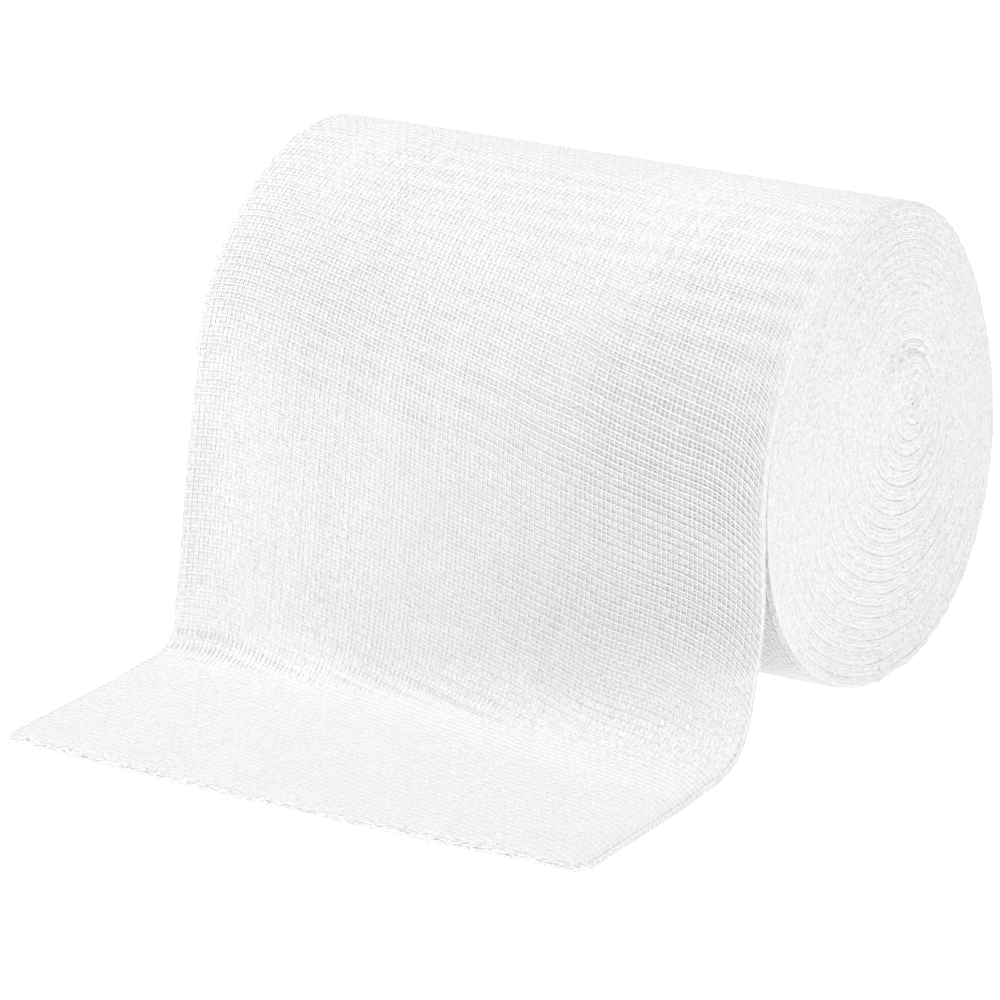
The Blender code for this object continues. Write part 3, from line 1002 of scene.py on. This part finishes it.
def cotton_group():
    """Soft unevenness of bleached cotton: a tint mask, the height of its fibres, and curled fibres."""
    tree = bpy.data.node_groups.new(COTTON_GROUP, "ShaderNodeTree")
    place = tree.interface.new_socket("Vector", in_out="INPUT", socket_type="NodeSocketVector")
    place.description = "Object coordinates in metres"
    for name, scale in NOISE_SCALES.items():
        socket = tree.interface.new_socket(name, in_out="INPUT", socket_type="NodeSocketFloat")
        socket.default_value = scale
    for name in ("Tint", "Fibres", "Curls"):
        tree.interface.new_socket(name, in_out="OUTPUT", socket_type="NodeSocketFloat")
    given = tree.nodes.new("NodeGroupInput").outputs
    made = tree.nodes.new("NodeGroupOutput").inputs
    link(tree, noise_node(tree, given["Vector"], given["Cloud Scale"], 3.0), made["Tint"])
    link(tree, noise_node(tree, given["Vector"], given["Fibre Scale"], 2.0), made["Fibres"])
    noise = noise_node(tree, given["Vector"], given["Curl Scale"], 1.0, CURL_DISTORTION)
    off_ridge = math_node(tree, "ABSOLUTE", math_node(tree, "SUBTRACT", noise, 0.5))
    ridge = math_node(tree, "MULTIPLY_ADD", off_ridge, -CURL_SHARPNESS, 1.0)
    link(tree, math_node(tree, "SMOOTH_MAX", ridge, 0.0, CURL_SOFTNESS), made["Curls"])
    return tree


def place_group(tree, group, vector):
    node = tree.nodes.new("ShaderNodeGroup")
    node.node_tree = group
    link(tree, vector, node.inputs["Vector"])
    return node


def finish_shader(tree, shader, tint, height, bump, values):
    """Gives the shader its colour, its bump of so much strength and distance, and its other values."""
    node = tree.nodes.new("ShaderNodeBump")
    set_inputs(node, {"Strength": bump[0], "Distance": bump[1]})
    link(tree, height, node.inputs["Height"])
    link(tree, node.outputs["Normal"], shader.inputs["Normal"])
    link(tree, tint, shader.inputs["Base Color"])
    set_inputs(shader, values)


def yarn_material(name, colour, group):
    """Spun cotton: a slight twist along the yarn, fibres and a soft unevenness of its white."""
    material, tree, shader = new_material(name)
    coordinates = tree.nodes.new("ShaderNodeTexCoord")
    uneven = place_group(tree, group, coordinates.outputs["Object"])
    tint = mix_colours(tree, uneven.outputs["Tint"], *(toned(colour, share) for share in YARN_TONES))
    along = tree.nodes.new("ShaderNodeSeparateXYZ")
    link(tree, coordinates.outputs["UV"], along.inputs[0])
    turned = math_node(tree, "MULTIPLY_ADD", along.outputs["X"], TWISTS_PER_MM, along.outputs["Y"])
    strand = math_node(tree, "SINE", math_node(tree, "MULTIPLY", turned, 2.0 * pi))
    height = math_node(tree, "MULTIPLY_ADD", strand, TWIST_HEIGHT, uneven.outputs["Fibres"])
    finish_shader(tree, shader, tint, height, YARN_BUMP, YARN_SHADER)
    return material


def lower_ply_material(colour, hollow_shade, group):
    """The plies under the woven ones: curled fibres, painted shade along the lines between the plies, and
    painted shade between the yarns, deepest where the weave looks open.
    """
    material, tree, shader = new_material("lower_plies")
    coordinates = tree.nodes.new("ShaderNodeTexCoord")
    uneven = place_group(tree, group, coordinates.outputs["Object"])
    shows = attribute_node(tree, "shows")
    # Painted shade along the lines between the plies, across the strip's depth, wandering with the tint
    turned = math_node(tree, "MULTIPLY", attribute_node(tree, "depth"), PLY_LINES * 2.0 * pi)
    wander = math_node(tree, "MULTIPLY_ADD", uneven.outputs["Tint"], PLY_LINE_WANDER, turned)
    waves = math_node(tree, "COSINE", wander)
    ply_shade_lines = math_node(tree, "MULTIPLY_ADD", waves, -PLY_LINE_DEPTH, PLY_LINE_MEAN)
    fibres = math_node(tree, "MULTIPLY", uneven.outputs["Curls"], ply_shade_lines)
    # Between the yarns the fuzz is quieter than on the ends, where the attribute is 0, and its light tone
    # is darker: painted shade between the yarns
    between = math_node(tree, "MINIMUM", math_node(tree, "MULTIPLY", shows, BETWEEN_RATE), 1.0)
    light = mix_colours(tree, between, toned(colour, FUZZ_LIGHT), toned(colour, FUZZ_LIGHT_BETWEEN))
    fuzz = mix_colours(tree, fibres, toned(colour, FUZZ_SHADE), light)
    finer = place_group(tree, group, coordinates.outputs["Object"])
    set_inputs(finer, {"Curl Scale": FINE_CURL_SCALE})
    # The painted shade in the hollows between the yarns, mottled by finer curls
    deep = mix_colours(tree, finer.outputs["Curls"], *(toned(hollow_shade, share) for share in HOLLOW_SHADE_TONES))
    # The attribute sets how far the fuzz gives way to the painted shade between the yarns
    tint = mix_colours(tree, shows, fuzz, deep)
    flatter = math_node(tree, "MULTIPLY_ADD", between, -BETWEEN_FLATTER, 1.0)
    height = math_node(tree, "MULTIPLY", fibres, flatter)
    finish_shader(tree, shader, tint, height, FUZZ_BUMP, FUZZ_SHADER)
    return material


def shared(name, maker, *arguments):
    """The material or node group of that name, made the first time."""
    kept = bpy.data.materials.get(name) or bpy.data.node_groups.get(name)
    return kept or maker(*arguments)


def yarn_cotton(name, colour):
    """The material of that name for spun yarns of a colour."""
    return shared(name, yarn_material, name, tuple(colour), shared(COTTON_GROUP, cotton_group))


# === operators

class GAUZE_OT_wound_strip(Operator):
    """Wind the strip of lower plies and lay out its loose end"""

    bl_idname = "gauze.wound_strip"
    bl_label = "Wound Strip"

    def execute(self, context):
        settings = context.scene.gauze_strip
        material = shared("lower_plies", lower_ply_material, tuple(settings.lower_colour),
                          tuple(settings.hollow_shade_colour), shared(COTTON_GROUP, cotton_group))
        strip, length = make_wound_strip(settings, material)
        strip["strip_length"] = length
        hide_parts(NODE)
        return {"FINISHED"}


class GAUZE_OT_outer_ply(Operator):
    """Weave the outermost ply from single yarns"""

    bl_idname = "gauze.outer_ply"
    bl_label = "Outer Ply"

    def execute(self, context):
        material = yarn_cotton("cotton_yarn", context.scene.gauze_strip.colour)
        weave(context, "outer", material, OUTER_THICK, every=1, wrap=True, seed=OUTER_SEED,
              lift=OUTER_LIFT, parts=0.0, height=OUTER_HEIGHT, shift=0.0, inset=OUTER_INSET)
        return {"FINISHED"}


class GAUZE_OT_second_ply(Operator):
    """Weave the ply under the outermost one"""

    bl_idname = "gauze.second_ply"
    bl_label = "Second Ply"

    def execute(self, context):
        # A darker copy of the yarn material: painted shade for the ply under the outermost one
        material = yarn_cotton("lower_yarn", context.scene.gauze_strip.lower_colour)
        weave(context, "second", material, SECOND_THICK, every=2, wrap=False, seed=SECOND_SEED,
              lift=SECOND_LIFT, parts=SECOND_PARTS, height=0.0, shift=SECOND_SHIFT, inset=SECOND_INSET)
        return {"FINISHED"}


class GAUZE_OT_yarn_ends(Operator):
    """Raise the loops on the roll's ends and fray the cut edge"""

    bl_idname = "gauze.yarn_ends"
    bl_label = "Loops and Frayed Yarns"

    def execute(self, context):
        settings = context.scene.gauze_fray
        total = context.scene.gauze_strip.turns
        radius = context.scene.gauze_weave.yarn_radius
        material = yarn_cotton("cotton_yarn", context.scene.gauze_strip.colour)
        make_end_loops("end_loops_right", 1.0, settings.loops, total, radius, material, RIGHT_LOOPS_SEED)
        make_end_loops("end_loops_left", -1.0, settings.loops, total, radius, material, LEFT_LOOPS_SEED)
        make_frayed_edge(StripFace(total), settings.frayed, radius, material)
        return {"FINISHED"}


class GAUZE_OT_declare(Operator):
    """Does nothing: the strip and its yarn pieces are left as they are"""

    bl_idname = "gauze.declare"
    bl_label = "Declare the Sheet"

    def execute(self, context):
        return {"FINISHED"}


class GAUZE_OT_studio(Operator):
    """Set the pale table, the soft lights and the camera"""

    bl_idname = "gauze.studio"
    bl_label = "Studio"

    def execute(self, context):
        settings = context.scene.gauze_studio
        self.floor(settings)
        self.sky(context, settings)
        for name, (at, towards, size, power) in LIGHTS.items():
            data = bpy.data.lights.new(name, "AREA")
            data.shape = "DISK"
            data.size = size
            data.energy = getattr(settings, power)
            self.aimed(name, data, at, towards)
        data = bpy.data.cameras.new("camera")
        data.sensor_width = CAMERA_SENSOR
        data.lens = CAMERA_LENS
        context.scene.camera = self.aimed("camera", data, CAMERA_AT, CAMERA_TARGET)
        return {"FINISHED"}

    def floor(self, settings):
        bm = bmesh.new()
        bmesh.ops.create_grid(bm, x_segments=1, y_segments=1, size=FLOOR_SIZE)
        mesh = bpy.data.meshes.new("floor")
        bm.to_mesh(mesh)
        bm.free()
        material, _, shader = new_material("floor")
        set_inputs(shader, {"Base Color": toned(settings.floor_colour, 1.0), **FLOOR_SHADER})
        mesh.materials.append(material)
        floor = bpy.data.objects.new("floor", mesh)
        bpy.context.collection.objects.link(floor)

    def sky(self, context, settings):
        world = bpy.data.worlds.new("sky")
        world.use_nodes = True
        set_inputs(world.node_tree.nodes["Background"], {"Color": WHITE, "Strength": settings.sky})
        context.scene.world = world
        context.scene.view_settings.view_transform = "Standard"
        context.scene.view_settings.look = "None"

    def aimed(self, name, data, at, towards):
        """A light or camera at one place, turned towards another."""
        made = bpy.data.objects.new(name, data)
        made.location = at
        made.rotation_euler = (Vector(towards) - Vector(at)).to_track_quat("-Z", "Y").to_euler()
        bpy.context.collection.objects.link(made)
        return made


class GAUZE_PT_panel(Panel):
    """Everything that the gauze roll is made of"""

    bl_label = "Gauze Roll"
    bl_idname = "GAUZE_PT_panel"
    bl_space_type = "VIEW_3D"
    bl_region_type = "UI"
    bl_category = "Gauze Roll"

    def draw(self, context):
        layout = self.layout
        scene = context.scene
        for group in (scene.gauze_strip, scene.gauze_weave, scene.gauze_fray, scene.gauze_studio):
            box = layout.box()
            for name in group.__annotations__:
                box.prop(group, name)
        for operator in OPERATORS:
            layout.operator(operator.bl_idname)


OPERATORS = (GAUZE_OT_wound_strip, GAUZE_OT_outer_ply, GAUZE_OT_second_ply, GAUZE_OT_yarn_ends,
             GAUZE_OT_declare, GAUZE_OT_studio)
SETTINGS = {"gauze_strip": GauzeStripSettings, "gauze_weave": GauzeWeaveSettings,
            "gauze_fray": GauzeFraySettings, "gauze_studio": GauzeStudioSettings}


def register():
    for group in SETTINGS.values():
        bpy.utils.register_class(group)
    for name, group in SETTINGS.items():
        setattr(bpy.types.Scene, name, PointerProperty(type=group))
    for operator in OPERATORS:
        bpy.utils.register_class(operator)
    bpy.utils.register_class(GAUZE_PT_panel)


def unregister():
    bpy.utils.unregister_class(GAUZE_PT_panel)
    for operator in reversed(OPERATORS):
        bpy.utils.unregister_class(operator)
    for name, group in SETTINGS.items():
        delattr(bpy.types.Scene, name)
        bpy.utils.unregister_class(group)


def main():
    register()
    bpy.ops.gauze.wound_strip()
    bpy.ops.gauze.outer_ply()
    bpy.ops.gauze.second_ply()
    bpy.ops.gauze.yarn_ends()
    bpy.ops.gauze.declare()
    bpy.ops.gauze.studio()


if __name__ == "__main__":
    main()
